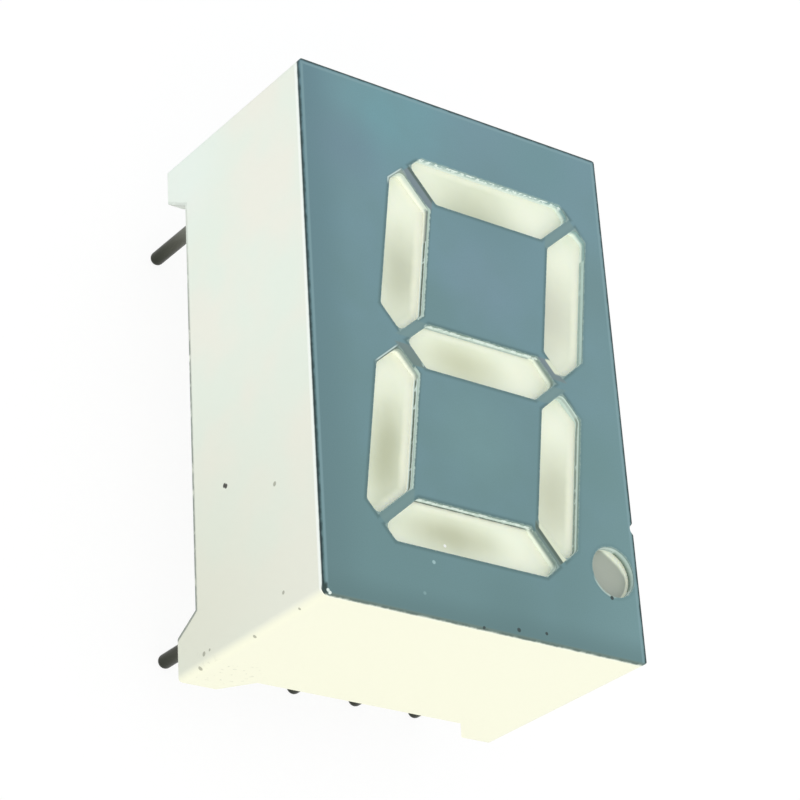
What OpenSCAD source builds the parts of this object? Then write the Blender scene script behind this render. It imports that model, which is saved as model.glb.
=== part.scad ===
// Single seven segment display: a white moulded reflector housing with a printed face,
// eight cast resin light windows, a small circuit board with one LED chip behind each
// window, and ten round pins sealed into the back with resin.
// The face looks up (+Z), the digit's top points to +Y and its right side to +X.
// The origin is the centre of the pin grid, on the plane where the four feet stand.

/* [Body] */
// Width of the body, across the digit
body_w = 12.6; // [12.2:0.1:16]
// Height of the body, along the digit
body_h = 19; // [18.2:0.1:24]
// Depth from the seating plane to the printed face
body_d = 8.2; // [7.4:0.1:12]
// Thickness of the wall round the rear pocket
wall_t = 0.6; // [0.4:0.05:0.7]
// Radius of the body's four upright edges
corner_r = 0.3; // [0.15:0.05:0.5]

/* [Feet] */
// Height of the corner feet above the seating plane
foot_h = 1.2; // [0.6:0.1:1.3]
// Radius round the feet's lower outer edges
foot_r = 0.15; // [0.1:0.05:0.3]
// Radius between a foot's tip and its sloping flank
foot_tip_r = 0.3; // [0.05:0.05:0.3]
// Length of a foot's tip along the long side of the body
side_foot = 1.4; // [1:0.1:2.5]
// Slope at the root of that leg, along the side
side_flank = 0.65; // [0.2:0.05:1.2]
// Length of a foot's tip along the short side of the body
end_foot = 1.3; // [0.9:0.1:2]
// Slope at the root of that leg, along the end
end_flank = 0.95; // [0.2:0.05:1.2]

/* [Printed face] */
// Thickness of the coat of ink
ink_t = 0.05; // [0.03:0.01:0.08]
// How far the ink runs down over the edge of the face
ink_wrap = 0.15; // [0.13:0.01:0.4]
// Radius of the face's outer edge
face_edge_r = 0.12; // [0.1:0.01:0.12]
// Radius of the chip knocked out of the face's right edge
nick_r = 0.25; // [0.05:0.01:0.3]
// Place of that chip along the edge, from the middle of the body
nick_y = -4.7; // [-8:0.1:8]

/* [Digit] */
// Plain face left above and below the digit
digit_end = 2.35; // [2.3:0.05:3]
// Plain face left beside the digit, as if it stood upright
digit_side = 2.15; // [2:0.05:2.6]
// Width of every bar
stroke = 1.65; // [1.2:0.05:1.8]
// Gap between neighbouring bars
bar_gap = 0.4; // [0.25:0.05:0.6]
// Size of the 45 degree cut at the digit's outer corners
corner_cut = 1.2; // [0.6:0.05:1.5]
// Lean of the digit to the right, in degrees
slant = 8; // [0:0.5:10]
// Shift of the digit to the right of the body's middle
digit_x = 0.45; // [-0.2:0.05:0.5]
// Shift of the digit up from the body's middle
digit_y = -0.05; // [-0.3:0.05:0.2]
// Radius of the corners of each bar
bar_r = 0.22; // [0.05:0.01:0.25]

/* [Decimal point] */
// Diameter of the decimal point
dot_d = 1.75; // [1.4:0.05:1.8]
// Distance from the point's centre to the body's right side
dot_side = 1.1; // [1.1:0.01:1.3]
// Distance from the point's centre to the body's lower end
dot_end = 3.05; // [2.8:0.01:3.1]

/* [Light funnels] */
// Depth of the funnels, from the front of the housing to the board
funnel_d = 4.5; // [4:0.1:5]
// Depth of the straight land before a funnel starts to narrow
land_d = 0.8; // [0.4:0.1:1.5]
// Length of the opening over the LED
throat_l = 2; // [1.6:0.1:3]
// Width of the opening over the LED
throat_w = 0.9; // [0.7:0.05:1.1]
// Diameter of the opening over the decimal point's LED
dot_throat_d = 1.5; // [1.4:0.05:1.6]
// How far the decimal point's funnel leans to the left on its way down
dot_lean_x = 0.3; // [0:0.05:0.5]
// How far it leans up the digit, clear of the corner pin
dot_lean_y = 0.8; // [0.6:0.05:1]
// Wall left round the hollows behind the two windows of the digit
core_wall = 0.8; // [0.6:0.05:1.2]
// Thickness of the face in front of those hollows
core_skin = 1.2; // [0.8:0.1:2]

/* [Resin] */
// Drop from the housing's front to the edge of the cast windows
cast_drop = 0.25; // [0.05:0.01:0.3]
// Hollow that the resin left in each window as it shrank
cast_dish = 0.05; // [0.02:0.01:0.1]
// Flat edge of each window round that hollow
cast_rim = 0.06; // [0.03:0.01:0.1]
// Drop from the rim of the housing to the resin in the back
seal_drop = 0.15; // [0.1:0.01:0.3]

/* [Circuit board] */
// Thickness of the board
board_t = 0.8; // [0.6:0.1:1.2]
// Clearance between the board and the pocket
board_gap = 0.05; // [0.02:0.01:0.1]
// Thickness of the copper, let in flush with the board's coating
copper_t = 0.035; // [0.02:0.005:0.07]
// Width of a copper track
track_w = 0.3; // [0.2:0.05:0.4]
// Side of the square pads under the chips and the bonds
pad_w = 0.4; // [0.32:0.02:0.46]

/* [LED chips] */
// Side of a chip
chip_w = 0.3; // [0.2:0.01:0.32]
// Height of a chip
chip_h = 0.25; // [0.15:0.01:0.3]
// Distance from the middle of a chip to the middle of its bond pad
bond_span = 0.8; // [0.7:0.01:0.86]
// Diameter of the bond wire
wire_d = 0.03; // [0.02:0.005:0.05]
// Diameter of the flattened ball and foot at the wire's ends
bond_d = 0.09; // [0.08:0.01:0.14]

/* [Pins] */
// Diameter of a pin
pin_d = 0.5; // [0.4:0.01:0.6]
// Length of a pin below the seating plane
pin_l = 2.8; // [2.5:0.05:6]
// Distance from the last pin of a row to the body's side
pin_side = 1.22; // [1.15:0.01:1.4]
// Distance from a row of pins to the body's end
pin_end = 1.88; // [1.7:0.01:2]
// Radius round a pin's tip
tip_r = 0.19; // [0.05:0.01:0.19]
// Side of the square shank that is held in the resin
shank_w = 0.4; // [0.3:0.01:0.42]
// Clearance round the shank's corners in the board
shank_gap = 0.02; // [0.01:0.01:0.05]
// Diameter of the head that is upset on the board
head_d = 0.9; // [0.8:0.05:1]
// Thickness of that head
head_t = 0.15; // [0.1:0.01:0.25]
// Clearance round the head in the back of the reflector
head_gap = 0.15; // [0.1:0.01:0.2]

/* [Hidden] */
BARS = ["a", "b", "c", "d", "e", "f", "g"];
LIGHTS = concat(BARS, ["dp"]);
PINS = [1:10];

// Overshoot of a cut past the face that it opens
over = 0.5;
arc_fn = 48;
bar_steps = 3;
foot_steps = 6;

// Levels along Z, from the seating plane at zero up to the printed face
rim_z = foot_h;
seal_z = rim_z + seal_drop;
front_z = body_d - ink_t;
cast_z = front_z - cast_drop;
land_z = front_z - land_d;
board_z = front_z - funnel_d;
board_back = board_z - board_t;
wrap_z = body_d - ink_wrap;
// The wire's round end stops inside the collar of resin that climbs it
shank_z = seal_z - seal_drop / 3;

// Rear pocket
pocket_w = body_w - 2 * wall_t;
pocket_h = body_h - 2 * wall_t;
pocket_r = corner_r;

// Distance between neighbouring pins in a row, and between the two rows
pin_pitch = (body_w - 2 * pin_side) / 4;
row_span = body_h - 2 * pin_end;

// Half sizes of the upright digit: outer edge, inner edge, half a bar
u_out = body_w / 2 - digit_side;
v_out = body_h / 2 - digit_end;
u_in = u_out - stroke;
v_in = v_out - stroke;
half = stroke / 2;
// The gap, measured along an axis, at a 45 degree joint
mitre = bar_gap / sqrt(2);
v_mid = (half + v_in) / 2;
// How far the corner cut reaches from the outer corner along each bar's mitre
cut_far = (corner_cut + mitre) / 2;
cut_near = (corner_cut - mitre) / 2;

// The three bar shapes of the upright digit, counter-clockwise
TOP_BAR = [
    [mitre - u_in, v_in], [u_in - mitre, v_in], [u_out - cut_far, v_out - cut_near],
    [u_out - corner_cut, v_out], [corner_cut - u_out, v_out], [cut_far - u_out, v_out - cut_near]
];
SIDE_BAR = [
    [u_in, half + mitre], [u_in + half, mitre], [u_out, half + mitre],
    [u_out, v_out - corner_cut], [u_out - cut_near, v_out - cut_far], [u_in, v_in - mitre]
];
MIDDLE_BAR = [
    [mitre - u_in, -half], [u_in - mitre, -half], [u_in + half - mitre, 0],
    [u_in - mitre, half], [mitre - u_in, half], [mitre - u_in - half, 0]
];

// For each bar: its shape, the mirroring to its place, its middle and its run
TOP = [TOP_BAR, [0, v_out - half], 2 * (u_out - cut_far), true];
SIDE = [SIDE_BAR, [u_out - half, v_mid], v_out - cut_far - mitre, false];
MIDDLE = [MIDDLE_BAR, [0, 0], 2 * (u_in + half - mitre), true];
PLACES = [
    [TOP, [1, 1]], [SIDE, [1, 1]], [SIDE, [1, -1]], [TOP, [1, -1]],
    [SIDE, [-1, -1]], [SIDE, [-1, 1]], [MIDDLE, [1, 1]]
];

// Turn of each LED and its bond about the middle of its opening, for a to g and the point
LED_TURN = [0, 90 - slant, -90 - slant, 180, -90 - slant, 90 - slant, 180, -90];
// Pin that feeds each light's bond wire; pins 3 and 8 are common to all the chips
LIGHT_PIN = [7, 6, 4, 2, 1, 9, 10, 5];
COMMON_PINS = [3, 8];

DOT = [body_w / 2 - dot_side, dot_end - body_h / 2];
DOT_THROAT = DOT + [-dot_lean_x, dot_lean_y];

function reversed(list) = [for (i = [len(list) - 1:-1:0]) list[i]];
function times(p, k) = [p[0] * k[0], p[1] * k[1]];
function mirrored(points, k) =
    let (moved = [for (p = points) times(p, k)])
    k[0] * k[1] < 0 ? reversed(moved) : moved;
// From the upright digit to its leaning place on the face
function leaned(p) = [p[0] + p[1] * tan(slant) + digit_x, p[1] + digit_y];

// Points of an arc that rounds the corner at b, between its neighbours a and c
function corner_arc(a, b, c, r, steps) =
    let (
        to_a = (a - b) / norm(a - b),
        to_c = (c - b) / norm(c - b),
        bend = acos(to_a * to_c) / 2,
        middle = b + (to_a + to_c) / norm(to_a + to_c) * r / sin(bend),
        start = b + to_a * r / tan(bend) - middle,
        end = b + to_c * r / tan(bend) - middle,
        first = atan2(start[1], start[0]),
        sweep = (atan2(end[1], end[0]) - first + 540) % 360 - 180
    )
    [for (i = [0:steps]) let (t = first + sweep * i / steps) middle + r * [cos(t), sin(t)]];
function rounded(points, r) =
    let (n = len(points))
    [for (i = [0:n - 1])
        each corner_arc(points[(i + n - 1) % n], points[i], points[(i + 1) % n], r, bar_steps)];

// Outline of a bar's window on the face, and of the opening over its LED
function bar_middle(i) = times(PLACES[i][0][1], PLACES[i][1]);
function bar_upright(i) = mirrored(rounded(PLACES[i][0][0], bar_r), PLACES[i][1]);
function bar_window(i) = [for (p = bar_upright(i)) leaned(p)];
function throat_scale(i) =
    let (long = throat_l / PLACES[i][0][2], wide = throat_w / stroke)
    PLACES[i][0][3] ? [long, wide] : [wide, long];
function bar_throat(i) =
    let (m = bar_middle(i))
    [for (p = bar_upright(i)) leaned(m + times(p - m, throat_scale(i)))];
function circle_points(at, d) =
    [for (i = [0:arc_fn - 1]) at + d / 2 * [cos(360 * i / arc_fn), sin(360 * i / arc_fn)]];

function pin_place(n) =
    n <= 5 ? [(n - 3) * pin_pitch, -row_span / 2] : [(8 - n) * pin_pitch, row_span / 2];
function led_place(i) = i < len(BARS) ? leaned(bar_middle(i)) : DOT_THROAT;
function along(i, d) = led_place(i) + d * [cos(LED_TURN[i]), sin(LED_TURN[i])];
function chip_place(i) = along(i, -bond_span / 2);
function bond_place(i) = along(i, bond_span / 2);

// Solid through a stack of outlines with equal counts of points, given as [z, outline]
module loft(rings) {
    n = len(rings[0][1]);
    top = (len(rings) - 1) * n;
    polyhedron(
        points = [for (ring = rings) for (p = ring[1]) [p[0], p[1], ring[0]]],
        faces = concat(
            [[for (i = [0:n - 1]) i]],
            [[for (i = [n - 1:-1:0]) top + i]],
            [for (k = [0:n:top - n]) for (i = [0:n - 1])
                [k + i, k + n + i, k + n + (i + 1) % n, k + (i + 1) % n]]
        )
    );
}

module rounded_plate(w, h, r) {
    square([w - 2 * r, h], center = true);
    square([w, h - 2 * r], center = true);
    for (x = [r - w / 2, w / 2 - r], y = [r - h / 2, h / 2 - r])
        translate([x, y]) circle(r = r, $fn = arc_fn);
}

// Side view of a slab whose two upper edges are rounded
module rounded_top(w, low, high, edge) {
    translate([-w / 2, low]) square([w, high - edge - low]);
    translate([edge - w / 2, low]) square([w - 2 * edge, high - low]);
    for (x = [edge - w / 2, w / 2 - edge])
        translate([x, high - edge]) circle(r = edge, $fn = arc_fn);
}

// Block with rounded upright edges whose upper edge is rounded all round
module pillow(w, h, r, low, high, edge) {
    intersection() {
        translate([0, 0, low]) linear_extrude(high - low) rounded_plate(w, h, r);
        rotate([90, 0, 0]) linear_extrude(h + 2 * over, center = true)
            rounded_top(w, low, high, edge);
        rotate([90, 0, 90]) linear_extrude(w + 2 * over, center = true)
            rounded_top(h, low, high, edge);
    }
}

// Core of the face's edge under the ink
module front_core(low) {
    pillow(
        body_w - 2 * ink_t, body_h - 2 * ink_t, corner_r - ink_t,
        low, front_z, face_edge_r - ink_t
    );
}

// Space of one bar's light funnel, between two levels
module bar_space(i, low, high) {
    rings = [[board_z, bar_throat(i)], [land_z, bar_window(i)], [high, bar_window(i)]];
    loft(low < board_z ? concat([[low, bar_throat(i)]], rings) : rings);
}

module dot_space(low, high) {
    throat = circle_points(DOT_THROAT, dot_throat_d);
    window = circle_points(DOT, dot_d);
    rings = [[board_z, throat], [land_z, window], [high, window]];
    loft(low < board_z ? concat([[low, throat]], rings) : rings);
}

// Chip knocked out of the right edge of the face
module nick() {
    translate([body_w / 2 + nick_r / 4, nick_y, body_d]) sphere(r = nick_r, $fn = arc_fn);
}

// Cuts that leave a foot at each corner of the rear rim
module rim_cuts() {
    side_y = body_h / 2 - side_foot;
    end_x = body_w / 2 - end_foot;
    rotate([90, 0, 90]) linear_extrude(body_w + 2 * over, center = true)
        rim_cut(side_y, side_flank);
    rotate([90, 0, 0]) linear_extrude(body_h + 2 * over, center = true)
        rim_cut(end_x, end_flank);
}

module rim_cut(half_run, flank) {
    far = half_run + over;
    root = [half_run - flank, rim_z];
    edge = concat(
        [[far, -over]],
        corner_arc([far, 0], [half_run, 0], root, foot_tip_r, foot_steps),
        [root]
    );
    polygon(concat(edge, [for (p = reversed(edge)) [-p[0], p[1]]]));
}

// Hollows behind the digit's two windows, open towards the board
module window_cores() {
    u = u_in - core_wall;
    low = half + core_wall;
    high = v_in - core_wall;
    for (k = [-1, 1])
        translate([0, 0, board_z - over]) linear_extrude(front_z - core_skin - board_z + over)
            polygon([for (p = mirrored([[-u, low], [u, low], [u, high], [-u, high]], [1, k]))
                leaned(p)]);
}

module housing() {
    color("ivory") difference() {
        union() {
            mirror([0, 0, 1]) pillow(body_w, body_h, corner_r, -wrap_z, 0, foot_r);
            front_core(wrap_z - over);
        }
        translate([0, 0, -over]) linear_extrude(board_z + over)
            rounded_plate(pocket_w, pocket_h, pocket_r);
        rim_cuts();
        for (i = [0:len(BARS) - 1]) bar_space(i, board_z - over, body_d + over);
        dot_space(board_z - over, body_d + over);
        window_cores();
        for (n = PINS) translate([each pin_place(n), board_z - over])
            cylinder(d = head_d + 2 * head_gap, h = over + head_t + head_gap, $fn = arc_fn);
        nick();
    }
}

module face_mask() {
    color("slategray") difference() {
        pillow(body_w, body_h, corner_r, wrap_z, body_d, face_edge_r);
        front_core(wrap_z - over);
        for (i = [0:len(BARS) - 1]) translate([0, 0, front_z - over])
            linear_extrude(ink_t + 2 * over) polygon(bar_window(i));
        translate([0, 0, front_z - over])
            linear_extrude(ink_t + 2 * over) polygon(circle_points(DOT, dot_d));
        nick();
    }
}

// Radius of the shallow hollow in a window of the given width
function dish_radius(width) =
    let (reach = width / 2 - cast_rim) (reach * reach + cast_dish * cast_dish) / (2 * cast_dish);

module segment(i) {
    run = PLACES[i][0][2];
    level = PLACES[i][0][3];
    r = dish_radius(stroke);
    color("beige") difference() {
        bar_space(i, board_z, cast_z);
        translate([each leaned(bar_middle(i)), cast_z + r - cast_dish])
            rotate([0, 0, level ? 0 : 90 - slant]) rotate([0, 90, 0])
                cylinder(r = r, h = run * 2, center = true, $fn = 4 * arc_fn);
        led(i);
        bond_wire(i);
    }
}

module decimal_point() {
    r = dish_radius(dot_d);
    color("beige") difference() {
        dot_space(board_z, cast_z);
        translate([DOT[0], DOT[1], cast_z + r - cast_dish]) sphere(r = r, $fn = 4 * arc_fn);
        led(len(BARS));
        bond_wire(len(BARS));
    }
}

// Straight strip of copper between two points
module track(a, b) {
    d = b - a;
    translate(a) rotate(atan2(d[1], d[0])) translate([-track_w / 2, -track_w / 2])
        square([norm(d) + track_w, track_w]);
}

module route(points) {
    for (i = [1:len(points) - 1]) track(points[i - 1], points[i]);
}

// Copper of the whole board: a feed to each bond pad, and one tree that joins all the chips
module copper_plan() {
    for (i = [0:len(LIGHTS) - 1]) {
        feed = pin_place(LIGHT_PIN[i]);
        bond = bond_place(i);
        route([feed, [feed[0], bond[1]], bond]);
        for (p = [chip_place(i), bond])
            translate(p) rotate(LED_TURN[i]) square(pad_w, center = true);
    }
    a = chip_place(0);
    b = chip_place(1);
    c = chip_place(2);
    d = chip_place(3);
    e = chip_place(4);
    f = chip_place(5);
    g = chip_place(6);
    dp = chip_place(7);
    low = pin_place(COMMON_PINS[0]);
    high = pin_place(COMMON_PINS[1]);
    route([high, [high[0], f[1]]]);
    route([[high[0], a[1]], a]);
    route([f, b]);
    route([[g[0], f[1]], g, [g[0], d[1]], d, low]);
    route([e, c]);
    route([c, [dp[0], c[1]], dp]);
    for (n = PINS) translate(pin_place(n)) circle(d = head_d, $fn = arc_fn);
}

module shank_holes() {
    for (n = PINS) translate([each pin_place(n), board_back - over])
        cylinder(d = shank_w * sqrt(2) + 2 * shank_gap, h = board_t + 2 * over, $fn = arc_fn);
}

module circuit_board() {
    color("darkseagreen") difference() {
        translate([0, 0, board_back]) linear_extrude(board_t)
            rounded_plate(pocket_w - 2 * board_gap, pocket_h - 2 * board_gap, pocket_r);
        copper_tracks();
        shank_holes();
    }
}

module copper_tracks() {
    color("peru") difference() {
        translate([0, 0, board_z - copper_t]) linear_extrude(copper_t) copper_plan();
        shank_holes();
    }
}

module led(i) {
    color("dimgray") translate([each chip_place(i), board_z]) rotate(LED_TURN[i])
        translate([-chip_w / 2, -chip_w / 2]) cube([chip_w, chip_w, chip_h]);
}

// Gold wire from a ball on top of the chip, over in a half circle and down to its pad
module bond_wire(i) {
    reach = bond_span / 2;
    top = chip_h + wire_d;
    color("gold") translate([each led_place(i), board_z]) rotate(LED_TURN[i]) {
        translate([-reach, 0, chip_h]) cylinder(d = bond_d, h = wire_d, $fn = arc_fn);
        translate([0, 0, top]) rotate([90, 0, 0]) rotate_extrude(angle = 180, $fn = arc_fn)
            translate([reach, 0]) circle(d = wire_d, $fn = arc_fn / 2);
        translate([reach, 0]) cylinder(d = wire_d, h = top, $fn = arc_fn / 2);
        translate([reach, 0]) cylinder(d = bond_d, h = wire_d, $fn = arc_fn);
    }
}

// Round wire with a rounded tip, swaged square above it and upset to a head on the board
module pin(n) {
    r = pin_d / 2;
    color("gray") translate(pin_place(n)) {
        rotate_extrude($fn = arc_fn) {
            translate([0, -pin_l]) square([r - tip_r, pin_l + shank_z]);
            translate([0, tip_r - pin_l]) square([r, pin_l + shank_z - tip_r]);
            translate([r - tip_r, tip_r - pin_l]) intersection() {
                circle(r = tip_r, $fn = arc_fn);
                translate([0, -tip_r]) square(tip_r);
            }
        }
        translate([-shank_w / 2, -shank_w / 2, shank_z])
            cube([shank_w, shank_w, board_z - shank_z]);
        translate([0, 0, board_z]) cylinder(d = head_d, h = head_t, $fn = arc_fn);
    }
}

// Collar of resin that climbs a pin
module pin_collar() {
    r = pin_d / 2 + seal_drop;
    rotate_extrude($fn = arc_fn) difference() {
        translate([0, rim_z]) square([r, 2 * seal_drop]);
        translate([r, rim_z]) circle(r = seal_drop, $fn = arc_fn);
    }
}

module back_resin() {
    color("white") difference() {
        union() {
            difference() {
                translate([0, 0, rim_z]) linear_extrude(board_back - rim_z)
                    rounded_plate(pocket_w, pocket_h, pocket_r);
                pillow(pocket_w, pocket_h, pocket_r, rim_z - over, seal_z, seal_drop);
            }
            for (n = PINS) translate(pin_place(n)) pin_collar();
        }
        for (n = PINS) pin(n);
    }
}

housing();
face_mask();
for (i = [0:len(BARS) - 1])
    segment(i);
decimal_point();
circuit_board();
copper_tracks();
for (i = [0:len(LIGHTS) - 1])
    led(i);
for (i = [0:len(LIGHTS) - 1])
    bond_wire(i);
for (n = PINS)
    pin(n);
back_resin();
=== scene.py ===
"""The finishes of a single seven segment display, its floor, its light and its camera."""

from math import cos, pi, radians, sin, sqrt, tan

import bpy
from mathutils import Matrix, Vector


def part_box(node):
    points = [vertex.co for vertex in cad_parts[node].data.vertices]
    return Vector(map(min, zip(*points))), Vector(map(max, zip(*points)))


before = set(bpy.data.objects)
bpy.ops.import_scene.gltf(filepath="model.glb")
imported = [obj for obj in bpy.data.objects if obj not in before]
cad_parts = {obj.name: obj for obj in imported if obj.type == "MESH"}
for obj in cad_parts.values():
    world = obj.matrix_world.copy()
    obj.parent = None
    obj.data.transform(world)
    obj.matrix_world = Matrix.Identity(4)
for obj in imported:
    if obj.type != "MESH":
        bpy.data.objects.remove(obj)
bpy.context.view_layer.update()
bpy.ops.object.select_all(action="DESELECT")


# ---------------------------------------------------------------------------------------
# Circuit board: a thin plate of glass cloth and resin under a coat of white resist. It
# closes the back of the reflector, carries the chips and is held by the pins' heads.


class Socket:
    """An output of one of a tree's nodes; sums with it add Math nodes."""

    def __init__(self, out):
        self.out = out

    def node(self, kind, inputs, output=0, **settings):
        """Adds a node: first its settings, then the values or links of its sockets."""
        tree = self.out.id_data
        made = tree.nodes.new("ShaderNode" + kind)
        for name, value in settings.items():
            setattr(made, name, value)
        for key, value in inputs.items():
            if isinstance(value, Socket):
                tree.links.new(value.out, made.inputs[key])
            else:
                made.inputs[key].default_value = value
        return Socket(made.outputs[output])

    def math(self, operation, *rest):
        return self.node("Math", dict(enumerate((self, *rest))), operation=operation)

    def __add__(self, other):
        return self.math("ADD", other)

    def __sub__(self, other):
        return self.math("SUBTRACT", other)

    def __rsub__(self, other):
        return self.node("Math", {0: other, 1: self}, operation="SUBTRACT")

    def __mul__(self, other):
        return self.math("MULTIPLY", other)

    def __truediv__(self, other):
        return self.math("DIVIDE", other)

    def __pow__(self, other):
        return self.math("POWER", other)

    def __abs__(self):
        return self.math("ABSOLUTE")

    def __or__(self, other):
        return self.math("MAXIMUM", other)

    def __and__(self, other):
        return self.math("MINIMUM", other)

    __radd__ = __add__
    __rmul__ = __mul__

    def rise(self, low, high):
        """Goes smoothly from 0 at low to 1 at high, which may be the smaller of the two."""
        return self.node(
            "MapRange",
            {"Value": self, "From Min": low, "From Max": high},
            interpolation_type="SMOOTHSTEP",
        )

    def near(self, core, reach):
        """1 where this is within core of 0, falling to 0 at reach."""
        return 1 - abs(self).rise(core, reach)

    def blend(self, first, second):
        """The first colour where this is 0, the second where it is 1."""
        return self.node("Mix", {0: self, 6: first, 7: second}, output=2, data_type="RGBA")

    def axes(self):
        return [self.node("SeparateXYZ", {0: self}, output=i) for i in range(3)]

    def cloud(self, size, detail=2.0, stretch=(1, 1, 1), seed=0.0):
        """Soft noise from 0 to 1 in lumps of that size."""
        spread = self.node("VectorMath", {0: self, 1: stretch}, operation="MULTIPLY")
        moved = spread.node("VectorMath", {0: spread, 1: (seed,) * 3}, operation="ADD")
        return self.node("TexNoise", {"Vector": moved, "Scale": 1 / size, "Detail": detail})

    def spot(self, x, y, z, radius):
        """1 inside a ball round a point, falling to 0 at its edge; a wide one falls all along."""
        core = radius * (0.6 if radius < 1 else 0.1)
        away = self.node("VectorMath", {0: self, 1: (x, y, z)}, 1, operation="DISTANCE")
        return 1 - away.rise(core, radius)


def paint(red, green, blue):
    """A colour named by its 0 to 255 screen levels, as the shader takes it."""
    levels = [level / 255 for level in (red, green, blue)]
    return (*[v / 12.92 if v < 0.04045 else ((v + 0.055) / 1.055) ** 2.4 for v in levels], 1)


def start_finish(name, fixed):
    """A new material with its fixed values, and the place on the part in millimetres."""
    material = bpy.data.materials.new(name)
    material.use_nodes = True
    shader = material.node_tree.nodes["Principled BSDF"]
    for key, value in fixed.items():
        shader.inputs[key].default_value = value
    metres = Socket(shader.outputs["BSDF"]).node("TexCoord", {}, output="Object")
    place = metres.node("VectorMath", {0: metres, 1: (1000,) * 3}, operation="MULTIPLY")
    return material, place


def end_finish(material, feeds, relief, depth, nodes):
    """Feeds the shader, presses the relief in to that depth in mm, and coats the nodes."""
    tree = material.node_tree
    inputs = tree.nodes["Principled BSDF"].inputs
    bump = relief.node("Bump", {"Height": relief, "Strength": 1.0, "Distance": depth / 1000})
    for key, value in {**feeds, "Normal": bump}.items():
        tree.links.new(value.out, inputs[key])
    for name in nodes:
        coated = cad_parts[name]
        coated.data.materials.clear()
        coated.data.materials.append(material)


resist, place = start_finish("white_resist", {"IOR": 1.5})
x, y, z = place.axes()
thread = 0.45
warp, weft = [(axis * (2 * pi / thread)).math("SINE") for axis in (x, y)]
weave = warp * weft * 0.5 + 0.5
stain = place.cloud(1.6)
stained = stain * 0.6 + weave * 0.3
end_finish(
    resist,
    {
        "Base Color": stained.blend(paint(214, 217, 203), paint(186, 196, 172)),
        "Roughness": weave * 0.12 + 0.38,
    },
    weave,
    0.004,
    ["circuit_board"],
)


# ---------------------------------------------------------------------------------------
# Tracks: copper foil etched to pads and strips and plated with a little gold, so that
# the bond wires take. It lies level with the resist.
gilding, place = start_finish("gilded_copper", {"Metallic": 1.0})
grain = place.cloud(0.05, 3.0)
tarnish = place.cloud(1.1)
end_finish(
    gilding,
    {
        "Base Color": tarnish.rise(0.35, 0.7).blend(paint(222, 180, 108), paint(196, 140, 84)),
        "Roughness": grain * 0.2 + 0.25,
    },
    grain,
    0.002,
    ["copper_tracks"],
)


# ---------------------------------------------------------------------------------------
# Chips: diced blocks of semiconductor, polished on top, sawn on their sides and glued
# to their pads with silver paste, which has crept a little way up the sides.
lights = ["a", "b", "c", "d", "e", "f", "g", "dp"]
paste_t = 0.06
dice, place = start_finish("sawn_chip", {"IOR": 2.6})
x, y, z = place.axes()
saw = place.cloud(0.02, 2.0, stretch=(1, 1, 0.15))
chip_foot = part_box("led_a")[0].z * 1000
paste = 1 - z.rise(chip_foot, chip_foot + paste_t)
end_finish(
    dice,
    {
        "Base Color": paste.blend(paint(104, 92, 84), paint(150, 150, 148)),
        "Roughness": saw * 0.3 + 0.15,
    },
    saw,
    0.002,
    ["led_" + light for light in lights],
)


# ---------------------------------------------------------------------------------------
# Bond wires: gold, drawn finer than a hair. Each one is welded to its chip by a ball,
# looped over and pressed down to a foot on the pad beside it.
bond_gold, place = start_finish("drawn_gold", {"Metallic": 1.0})
draw = place.cloud(0.01, 1.0)
end_finish(
    bond_gold,
    {
        "Base Color": draw.blend(paint(250, 206, 122), paint(236, 186, 96)),
        "Roughness": draw * 0.15 + 0.15,
    },
    draw,
    0.0005,
    ["bond_wire_" + light for light in lights],
)


# ---------------------------------------------------------------------------------------
# Pins: tinned steel wire, cut and tumbled so that the ends are round. The tin has gone
# dull and dark with age, most of all at the tips, and is brighter next to the body.
tin, place = start_finish("dull_tin", {"Metallic": 0.9})
x, y, z = place.axes()
pin_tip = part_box("pin_1")[0].z * 1000
band_low, band_high, worn_run = -1.4, 0.2, 2.4
streak = place.cloud(0.35, 3.0, stretch=(1, 1, 0.12))
pits = place.cloud(0.06, 3.0)
tone = streak.rise(0.3, 0.7).blend(paint(78, 78, 70), paint(96, 97, 88))
bright = z.rise(band_low, band_high) * (streak * 0.6 + 0.6)
tone = bright.blend(tone, paint(124, 127, 118))
worn = 1 - (z + streak * 0.5 - 0.25).rise(pin_tip, pin_tip + worn_run)
end_finish(
    tin,
    {
        "Base Color": worn.blend(tone, paint(54, 57, 49)),
        "Roughness": pits * 0.2 + 0.32,
    },
    pits,
    0.004,
    ["pin_%d" % number for number in range(1, 11)],
)


# ---------------------------------------------------------------------------------------
# Reflector housing: one moulding of plastic full of titanium white. Its lower end is painted
# yellower, as warm light, and a dark line runs along the open edge of its long walls. The
# outline of its openings is worked out here for the resin and the ink too.
slant = radians(8)
lean = tan(slant)
digit_x, side_margin, corner_cut, mitre = 0.45, 2.15, 1.2, 0.4 * sqrt(0.5)
face_low, face_high = [corner * 1000 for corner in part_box("face_mask")]
top_low, top_high = [corner * 1000 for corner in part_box("segment_a")]
bottom_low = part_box("segment_d")[0] * 1000
point_low, point_high = [corner * 1000 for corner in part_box("decimal_point")]
digit_y = (top_high.y + bottom_low.y) / 2
v_out, v_in = top_high.y - digit_y, top_low.y - digit_y
u_out = face_high.x - side_margin
u_in = u_out - (v_out - v_in)
half = (v_out - v_in) / 2
point_r = 0.875
point_x, point_y = point_high.x - point_r, point_low.y + point_r


def digit_axes(x, y):
    """How far across and how far up the digit a place is, with the slant taken out."""
    v = y - digit_y
    return x - digit_x - v * lean, v


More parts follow.
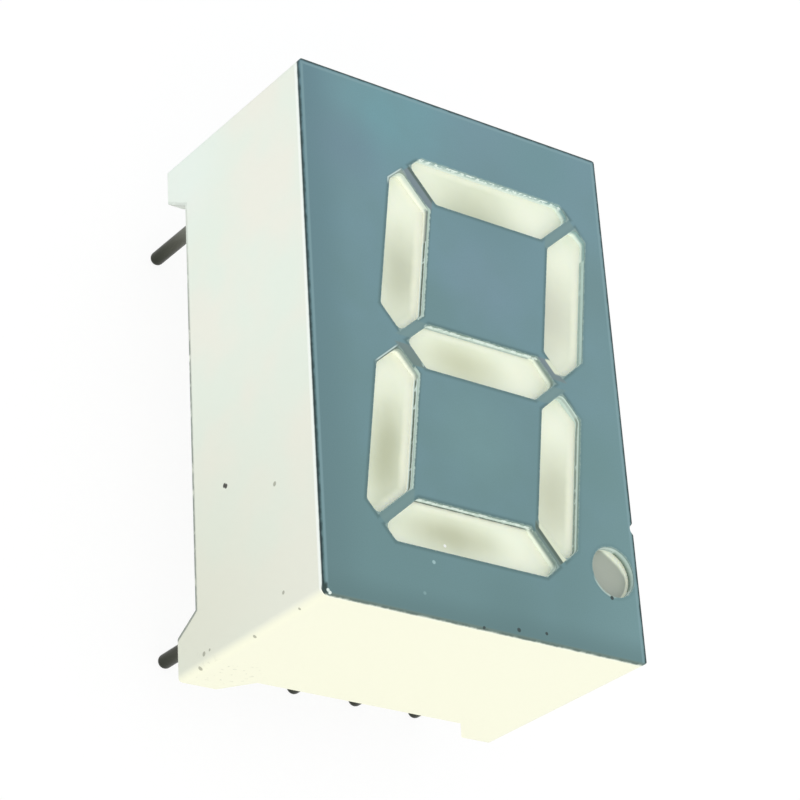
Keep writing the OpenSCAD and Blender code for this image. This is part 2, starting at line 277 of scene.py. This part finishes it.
def opening_depth(x, y):
    """How far a place lies inside the outline of the nearest opening, in millimetres."""
    side, up = [abs(axis) for axis in digit_axes(x, y)]
    corner = u_out + v_out - corner_cut - side - up
    top = (v_out - up) & (up - v_in) & (corner & (up - side + u_in - v_in - mitre)) * sqrt(0.5)
    tip = (side + up - u_in - half - mitre) & (up - side + u_in + half - mitre)
    tip = tip & corner & (side - up - u_in + v_in - mitre)
    upright = (u_out - side) & (side - u_in) & tip * sqrt(0.5)
    middle = (half - up) & (u_in + half - mitre - side - up) * sqrt(0.5)
    point = point_r - ((x - point_x) ** 2 + (y - point_y) ** 2) ** 0.5
    return top | upright | middle | point


white, place = start_finish("white_moulding", {"IOR": 1.46, "Specular IOR Level": 0.4})
x, y, z = place.axes()
house_low, house_high = [corner * 1000 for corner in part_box("housing")]
flow = place.cloud(3.5, seed=2.0)
orange_peel = place.cloud(0.25, 2.0)
tone = flow.rise(0.35, 0.65).blend(paint(236, 244, 232), paint(243, 242, 230))
# Painted shade: greyer towards the lower end and its feet. Cooler round the upper left foot
low_shade = (1 - y.rise(-9.8, 3.5)) * (1 - z.rise(0.5, 9.0) * 0.5)
tone = (low_shade * 0.85).blend(tone, paint(226, 227, 210))
tone = (place.spot(house_low.x, 8.8, 0.8, 4.0) * 0.7).blend(tone, paint(237, 248, 241))
# Painted warm light: the wall of the lower end, which faces the lamp, is painted yellower
warm_lit_end = 1 - y.rise(house_low.y + 0.02, house_low.y + 0.28)
tone = warm_lit_end.blend(tone, paint(243, 242, 220))
# Painted highlight: a bright strip along the top of the walls, just under the ink
wall_top_highlight = z.rise(face_low.z - 0.12, face_low.z - 0.06) * (0.8 - warm_lit_end * 0.8)
tone = wall_top_highlight.blend(tone, paint(252, 255, 250))
# A dark line along the open edge of the long walls: the straight rim and the flanks of the feet
rim_z, flank_y, flank_run = 1.2, 7.45, 0.65
wave = place.cloud(0.45, 3.0, seed=5.0)
flank = (abs(y) - flank_y) * rim_z + (z - rim_z) * flank_run
flank = flank / sqrt(rim_z**2 + flank_run**2)
from_edge = ((z - rim_z) | flank) + wave * 0.08 - 0.05
dark_rim_line = (1 - from_edge.rise(0.05, 0.13)) * (1 - y.rise(1, 8) * 0.75)
dark_rim_line = dark_rim_line * abs(x).rise(house_high.x - 0.25, house_high.x - 0.1)
tone = (dark_rim_line * wave.rise(0.25, 0.5) * 0.9).blend(tone, paint(128, 137, 130))
# Grime that sits in pinholes of the walls, and one burnt grain in the left wall
grime_places = [
    (house_low.x, -9.08, 1.62, 0.10), (house_low.x, -9.06, 1.95, 0.06),
    (-6.20, -9.42, 1.24, 0.10), (-6.18, -9.44, 4.30, 0.08), (-6.19, -9.43, 6.75, 0.06),
    (house_low.x, -4.97, 5.87, 0.10), (house_low.x, -8.68, 6.10, 0.08),
    (house_high.x, 2.10, 2.10, 0.07), (-1.40, house_high.y, 2.60, 0.07),
]
grime = sum(place.spot(*grain_place) for grain_place in grime_places)
sprinkled = place.cloud(0.22, seed=4.0).rise(0.62, 0.68)
grime = grime | sprinkled * place.spot(-5.3, house_low.y, 1.5, 1.5) * 0.5
tone = (grime * 0.75).blend(tone, paint(150, 150, 132))
burnt = place.spot(house_low.x, -3.93, 3.16, 0.1) | place.spot(house_low.x, -3.87, 3.07, 0.1)
tone = burnt.blend(tone, paint(58, 58, 50))
# Walls of the openings above the resin: which wall of the digit a place is on
wall_core, wall_reach = 0.06, 0.16
window_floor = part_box("segment_g")[1].z * 1000
above = z - window_floor
u, v = digit_axes(x, y)
inner = (u + u_in).near(wall_core, wall_reach) * (abs(v) - 3.0).near(2.3, 2.5)
outer = (u - u_out).near(wall_core, wall_reach)
low_outer = outer * v.rise(0.5, -0.5)
ledge = (v + v_in).near(wall_core, wall_reach) | (v - half).near(wall_core, wall_reach)
ledge = ledge * u.near(u_in - 0.1, u_in + 0.1)
top_ledge = (v - v_out).near(wall_core, wall_reach)
# Pale walls, a dark line low on them just above the resin, and ink that ran over their lips
run_off = place.cloud(0.25, 3.0)
# Painted light: the inner walls are painted paler, against their shade
wall = inner.blend(paint(204, 221, 218), paint(220, 235, 238))
wall = (outer * v.rise(-0.5, 0.5)).blend(wall, paint(190, 213, 211))
low_dark_line_z = (inner | place.spot(4.1, -0.7, window_floor, 1.0)) * 0.09 + 0.04 - ledge * 0.035
low_dark_line = (above - low_dark_line_z - run_off * 0.05).near(0.03, 0.07)
low_dark_line = low_dark_line * (inner * 0.65 + ledge * v.rise(0, -1) * 0.6 + low_outer * 0.35 + 0.3)
lip = above.rise(0.19, 0.23) * (ledge | low_outer) * 0.85
# Where the wall runs evenly from the resin's tone to the ink's. On the slanted walls at the
# # right ends of g and d, the dark tone at the ink is painted shade
for x_wall, y_wall, reach, at_resin, at_ink in [
    (-0.6, 7.1, 1.6, paint(226, 238, 234), paint(162, 186, 188)),
    (1.4, 7.1, 1.6, paint(226, 238, 234), paint(162, 186, 188)),
    (3.2, 7.1, 1.4, paint(226, 238, 234), paint(166, 190, 192)),
    (4.6, 6.9, 0.9, paint(236, 248, 242), paint(134, 166, 172)),
    (5.25, 6.0, 0.9, paint(238, 249, 244), paint(140, 171, 174)),
    (-2.6, -0.7, 0.8, paint(252, 254, 244), paint(158, 172, 168)),
    (-1.8, 5.8, 1.0, paint(252, 254, 244), paint(214, 224, 218)),
    (2.4, -6.1, 1.0, paint(244, 250, 240), paint(128, 146, 142)),
    (3.15, 0.4, 0.75, paint(244, 250, 240), paint(130, 148, 143)),
    (-1.33, 4.55, 0.7, paint(250, 252, 240), paint(122, 134, 136)),
    (5.9, -6.2, 0.8, paint(112, 130, 120), paint(192, 212, 208)),
]:
    here = place.spot(x_wall, y_wall, window_floor + 0.15, reach).rise(0, 0.35)
    wall = here.blend(wall, above.rise(0.02, 0.2).blend(at_resin, at_ink))
    low_dark_line, lip = low_dark_line * (1 - here), lip * (1 - here)
# Only on the walls inside the face, and not on the outside of the box
band = z.rise(window_floor - 0.3, window_floor - 0.1)
band = band * x.near(house_high.x - 0.2, house_high.x - 0.1)
band = band * y.near(house_high.y - 0.2, house_high.y - 0.1)
tone = band.blend(tone, wall)
# Painted light: the foot of the inner walls, by the resin, is painted near white against its
# shade
lit_wall_foot = (1 - above.rise(0.03, 0.08)) * inner
tone = (band * lit_wall_foot).blend(tone, paint(255, 255, 248))
tone = (band * low_dark_line * run_off.rise(0.25, 0.45)).blend(tone, paint(78, 94, 84))
tone = (band * lip).blend(tone, paint(104, 130, 126))
# Painted highlight: broken white flecks along the ledges of the openings, most along the top one
broken_highlight = place.cloud(0.16, 2.0, seed=6.0).rise(0.47, 0.56) * (top_ledge | ledge * 0.75)
broken_highlight = broken_highlight * above.rise(0.06, 0.14)
tone = (band * broken_highlight * 0.85).blend(tone, paint(236, 247, 248))
end_finish(
    white,
    {
        "Base Color": tone,
        "Roughness": orange_peel * 0.12 + 0.34,
    },
    orange_peel,
    0.006,
    ["housing"],
)


# ---------------------------------------------------------------------------------------
# Cast windows: milky epoxy poured into the reflector from behind against a tape on the
# face. It shrank a little; the chip shows through as a soft grey patch, partly painted shade.
milk_look = {
    "IOR": 1.52,
    "Subsurface Weight": 0.25,
    "Subsurface Radius": (0.5, 0.45, 0.3),
    "Subsurface Scale": 0.0006,
}


def cast_window(name, patch, run, turn, fade, grey, core=0.05, rim_w=0.34):
    """One opening's resin, with a bright rim that wide, partly painted light, round a soft grey
    patch.

    The patch is run long and fade wide at its edge, and even up to core of the way there.
    """
    resin, place = start_finish("milk_resin_" + name, milk_look)
    x, y, z = place.axes()
    dx, dy = x - patch[0], y - patch[1]
    along, across = dx * cos(turn) + dy * sin(turn), dy * cos(turn) - dx * sin(turn)
    haze = place.cloud(0.9, 2.0)
    ripple = place.cloud(0.5, 2.0)
    far = ((along / run) ** 2 + (across / fade) ** 2) ** 0.5 + haze * 0.24 - 0.12
    milk = haze.blend(paint(248, 253, 233), paint(246, 249, 226))
    tone = far.rise(core, 1.15).blend(grey, milk)
    # The resin is thin and bright where it climbs the wall; the rim is also painted light, whiter
    #     # and wider to lift the shade near the walls, most on the right and upper sides
    rim_and_light = 1 - (opening_depth(x + 0.1, y + 0.02) + ripple * 0.1).rise(rim_w / 4, rim_w)
    tone = (rim_and_light * 0.85).blend(tone, paint(255, 255, 232))
    # A pale crumb is stuck in the resin of segment d
    crumb = place.spot(-1.38, -6.79, window_floor - 0.04, 0.07)
    tone = crumb.blend(tone, paint(255, 255, 250))
    end_finish(
        resin,
        {
            "Base Color": tone,
            "Roughness": ripple * 0.1 + 0.36,
        },
        ripple,
        0.004,
        [name],
    )


upright = radians(90) - slant
for letter, patch, run, turn, fade, grey in [
    ("a", (0.90, 5.60), 2.4, 0, 2.3, paint(208, 213, 187)),
    ("b", (3.78, 2.7), 2.55, upright, 1.8, paint(213, 215, 196)),
    ("c", (3.2, -4.05), 2.4, upright, 1.4, paint(208, 211, 187)),
    ("d", (-1.1, -6.4), 2.6, 0, 0.85, paint(199, 202, 173)),
    ("e", (-3.43, -4.1), 2.95, upright, 1.0, paint(193, 197, 168)),
    ("f", (-2.45, 2.6), 2.45, upright, 1.22, paint(202, 206, 182)),
    ("g", (-0.1, -0.1), 2.2, 0, 1.0, paint(212, 215, 185)),
]:
    cast_window("segment_" + letter, patch, run, turn, fade, grey)
# The point is small and nearly all grey, with a painted highlight, a bright sliver, at its upper
# right
point_grey = paint(168, 174, 162)
cast_window("decimal_point", (4.94, -6.75), 0.92, radians(49), 1.6, point_grey, 1.0, 0.1)


# ---------------------------------------------------------------------------------------
# Printed face: one coat of blue-grey ink, rolled on over the front and a little way down
# the sides. It is dark on the edge, thin on the lower end, and chipped.
ink, place = start_finish("face_ink", {"IOR": 1.45, "Specular IOR Level": 0.35})
x, y, z = place.axes()
from_left, from_end = x - face_low.x, y - face_low.y
climb = from_end / (face_high.y - face_low.y)


def on_face(x, y, radius):
    """A spot on the front of the ink."""
    return place.spot(x, y, face_high.z, radius)


drift = place.cloud(4.5, 2.0)
dapple = place.cloud(1.4, 3.0, seed=7.0)
grit = place.cloud(0.05, 3.0)
bluer = climb * 0.65 + drift * 0.6 + dapple * 0.6 + x * 0.012 - 0.5
tone = bluer.rise(0.05, 0.85).blend(paint(106, 139, 142), paint(114, 147, 157))
left = climb.blend(paint(100, 131, 134), paint(101, 134, 144))
tone = (1 - from_left.rise(0.2, 2.0)).blend(tone, left)
lower_right = from_left.rise(9.0, 12.5) * (1 - climb)
tone = (lower_right * 0.7).blend(tone, paint(118, 152, 155))
for x_patch, y_patch, reach, patch_tone in [
    (0.7, 3.0, 2.6, paint(119, 147, 161)), (-2.6, 8.9, 3.6, paint(111, 159, 167)),
    (5.7, 4.1, 2.6, paint(106, 137, 139)), (0.0, -2.8, 2.6, paint(115, 150, 152)),
    (1.6, 6.0, 3.0, paint(106, 138, 144)), (-4.6, 6.6, 2.0, paint(108, 136, 149)),
    (0.8, -8.7, 1.9, paint(99, 131, 133)), (3.6, 8.6, 2.2, paint(108, 145, 150)),
    (4.8, -2.6, 2.2, paint(106, 141, 142)), (-1.5, 1.6, 1.6, paint(106, 138, 141)),
]:
    patch = on_face(x_patch, y_patch, reach) * (dapple * 0.5 + 0.3)
    tone = patch.blend(tone, patch_tone)
tone = (grit.rise(0.3, 0.8) * 0.1).blend(tone, paint(80, 104, 108))
# The ridges between two openings: how far across each one, and whether a place is on it
ridge_half = 0.26
u, v = digit_axes(x, y)
side, up = abs(u), abs(v)
across_corner = (up - side + u_in - v_in) * sqrt(0.5)
across_middle = (side + up - u_in - half) * sqrt(0.5)
at_corner = (up - v_in + 0.3) & (side - u_in + 0.15) & (ridge_half - abs(across_corner))
at_corner = (at_corner & (u_out + v_out - corner_cut - side - up)).rise(0, 0.08)
at_middle = (half + 0.05 - up) & (up - 0.1) & (ridge_half - abs(across_middle))
at_middle = at_middle.rise(0, 0.08)
ridge = at_corner | at_middle
# Grey on the ridges, where the roller hardly reached, with a dark line of painted shade along two
# of them
tone = (ridge * 0.6).blend(tone, paint(121, 146, 143))
falls = (u * v).rise(1, -1)
falling = (at_corner * falls) | (at_middle * (u * v).rise(-0.2, 0.2))
ridge_tone = v.rise(-1, 1).blend(paint(112, 130, 123), paint(122, 134, 142))
tone = (falling * 0.8).blend(tone, ridge_tone)
ridge_shadow = at_corner * falls * (across_corner - v.rise(-1, 1) * 0.15).near(0.04, 0.11)
tone = (ridge_shadow * 0.8).blend(tone, paint(80, 97, 85))
# Painted shade round the openings, weaker at the top, on the ridges and at the right; the
# # edge is ragged and the plastic shows
past = opening_depth(x, y)
rag = place.cloud(0.11, 2.0, seed=11.0)
beside = (u + u_in).near(0.16, 0.2) * (up - 3.0).near(2.2, 2.4)
shaded = past.rise(-0.16, -0.03) * (1 - v.rise(v_out - 0.2, v_out)) * (1 - ridge * 0.8)
shaded = shaded * (1 - u.rise(u_out - 0.5, u_out - 0.1) * 0.65)
tone = (shaded * (beside * 0.25 + 0.65)).blend(tone, paint(78, 106, 106))
torn = (past + rag * 0.1 + beside * 0.05).rise(0.01, 0.07)
tone = (torn * (beside * 0.55 + 0.35)).blend(tone, paint(190, 210, 200))
# Thin and pale on the two left tips, darker at their very edge, and pale below the point
tips = on_face(-2.62, 6.05, 0.55) | on_face(-3.4, -0.75, 0.7)
tip_edge = y.rise(2, 0).blend(paint(146, 160, 152), paint(96, 112, 104))
tip_tone = past.rise(-0.06, -0.02).blend(paint(202, 220, 216), tip_edge)
tone = (tips * past.rise(-0.11, -0.06)).blend(tone, tip_tone)
thinned = on_face(4.7, -7.14, 0.6) * past.rise(-0.08, -0.04)
tone = (thinned * 0.5).blend(tone, paint(204, 220, 208))
# Two ridges have lost their ink along one side
lost = at_middle * across_middle.rise(0.0, 0.05) * v.rise(0.32, 0.42)
lost = lost * u.rise(u_in + 0.04, u_in + 0.1)
lost_low = at_corner * across_corner.rise(-0.03, -0.07) * v.rise(-5.2, -5.26)
lost_low = lost_low * u.rise(u_in, u_in + 0.06)
tone = (lost | lost_low).blend(tone, paint(218, 224, 200))
# A dull strip along the lower end, and a painted highlight: a bright line just inside the other
# edges
inset = from_left & (face_high.x - 0.08 - x) & (face_high.y - 0.08 - y)
tone = ((1 - from_end.rise(0.1, 1.1)) * 0.6).blend(tone, paint(92, 122, 124))
ink_edge_highlight = inset.rise(0.07, 0.1) * (1 - inset.rise(0.14, 0.2))
tone = (ink_edge_highlight * 0.6).blend(tone, paint(130, 161, 167))
# Dark on the edge itself; down the left side the ink is hardly more than a stain, and is
# # painted white there as a highlight
fringe = place.cloud(0.3, 3.0, seed=9.0)
deep = climb.blend(paint(34, 56, 58), paint(52, 74, 76))
tone = (1 - (inset - fringe * 0.08 + 0.05).rise(0.03, 0.09)).blend(tone, deep)
below = 1 - (z + fringe * 0.03).rise(face_high.z - 0.11, face_high.z - 0.05)
left_side = 1 - from_left.rise(0, 0.03)
tone = (left_side * below).blend(tone, paint(247, 254, 249))
# The lower end, where it ran thin over the edge
rub = place.cloud(0.22, 3.0, seed=3.0)
lower = 1 - from_end.rise(0.05, 0.12)
tone = (lower * 0.85).blend(tone, paint(106, 124, 117))
broken = (from_end + rub * 0.1).rise(0.14, 0.08) * rub.rise(0.4, 0.55)
tone = (broken * 0.5).blend(tone, paint(70, 88, 82))
thin = lower * (1 - (z + rub * 0.08 - 0.04).rise(face_high.z - 0.13, face_high.z - 0.04))
tone = thin.blend(tone, paint(244, 247, 231))
# The lower left corner is dark and chipped, and a few crumbs are stuck in the ink
dark_corner = on_face(-6.12, -9.34, 0.3) * inset.rise(0.2, 0.08)
tone = dark_corner.blend(tone, paint(48, 68, 66))
chip = on_face(-6.15, -9.35, 0.07) | on_face(-6.08, -9.42, 0.07)
tone = chip.blend(tone, paint(226, 238, 232))
scuffs = on_face(-2.55, -8.73, 0.07) * 0.4 | on_face(-2.12, -7.62, 0.08)
tone = scuffs.blend(tone, paint(156, 186, 188))
crumbs = on_face(-0.33, -9.44, 0.07) | on_face(1.04, -9.25, 0.09) | on_face(2.15, -9.16, 0.07)
crumbs = crumbs | on_face(point_x - 0.17, point_y - 0.93, 0.09)
tone = crumbs.blend(tone, paint(58, 72, 72))
end_finish(
    ink,
    {
        "Base Color": tone,
        "Roughness": dapple * 0.12 + 0.5,
    },
    grit,
    0.003,
    ["face_mask"],
)


# ---------------------------------------------------------------------------------------
# Back resin: the same epoxy with more white in it, poured in behind the board to seal the
# pins. It has crept up the walls and the pins and set with a glossy skin.
seal_look = {"IOR": 1.52, "Coat Weight": 0.3, "Coat Roughness": 0.12}
seal, place = start_finish("sealing_resin", seal_look)
swirl = place.cloud(2.2, 3.0)
dimple = place.cloud(0.8, 1.0)
end_finish(
    seal,
    {
        "Base Color": swirl.rise(0.3, 0.7).blend(paint(228, 229, 214), paint(214, 216, 198)),
        "Roughness": dimple * 0.1 + 0.22,
    },
    dimple,
    0.03,
    ["back_resin"],
)


# ---------------------------------------------------------------------------------------
# Floor: a plain white sheet under the tips of the pins. Where it is seen it mostly glows
# white by itself, so that the part's shadow on it stays weak.
floor_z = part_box("pin_1")[0].z
bpy.ops.mesh.primitive_plane_add(size=1.2, location=(0, 0, floor_z))
floor = bpy.context.object
floor.name = "floor"
floor.data.transform(floor.matrix_world)
floor.matrix_world = Matrix.Identity(4)


def seen(start):
    """1 where a ray comes from the camera, a reflection or glass, else 0."""
    camera, glossy, through = [
        start.node("LightPath", {}, output="Is %s Ray" % kind)
        for kind in ("Camera", "Glossy", "Transmission")
    ]
    return camera | glossy | through


sheet = bpy.data.materials.new("white_sheet")
sheet.use_nodes = True
tree = sheet.node_tree
first = tree.nodes["Principled BSDF"]
watched = seen(Socket(first.outputs["BSDF"]))
matt = watched.node("BsdfDiffuse", {"Color": (0.94, 0.94, 0.94, 1)})
glow = watched.node("Emission", {"Color": (1, 1, 1, 1), "Strength": 1.02})
washed = watched.node("MixShader", {0: watched * 0.88, 1: matt, 2: glow})
tree.links.new(washed.out, tree.nodes["Material Output"].inputs["Surface"])
tree.nodes.remove(first)
floor.data.materials.append(sheet)


# ---------------------------------------------------------------------------------------
# Light: an even white room, and one broad and warm lamp, low above the lower end. The
# room lights the part a little less than it shows, so that the white walls keep tone.
world = bpy.data.worlds.new("white_room")
bpy.context.scene.world = world
world.use_nodes = True
backdrop = world.node_tree.nodes["Background"]
room = seen(Socket(backdrop.outputs[0])).blend((0.82, 0.85, 0.87, 1), (1, 1, 1, 1))
world.node_tree.links.new(room.out, backdrop.inputs["Color"])

bpy.ops.object.light_add(type="SUN")
lamp = bpy.context.object
lamp.data.energy = 0.88
lamp.data.angle = radians(50)
lamp.data.color = (1.0, 0.95, 0.82)
toward = Vector((0.30, 0.80, -0.60))
lamp.rotation_euler = toward.to_track_quat("-Z", "Y").to_euler()


# ---------------------------------------------------------------------------------------
# Camera: a long lens, above the lower left corner and rolled so that the digit stands
# nearly upright.
bpy.ops.object.camera_add()
camera = bpy.context.object
camera.data.sensor_width = 36
camera.data.lens = 121.2
camera.data.clip_start = 0.005
camera.data.clip_end = 5
aim = Vector((0.5455, 0.4511, -0.7063)).normalized()
head = Vector((-0.2240, 0.8906, 0.3958))
side = aim.cross(head).normalized()
turned = Matrix((side, side.cross(aim), -aim)).transposed().to_4x4()
camera.matrix_world = Matrix.Translation((-0.04897, -0.04028, 0.06769)) @ turned
bpy.context.scene.camera = camera
bpy.context.scene.view_settings.view_transform = "Standard"
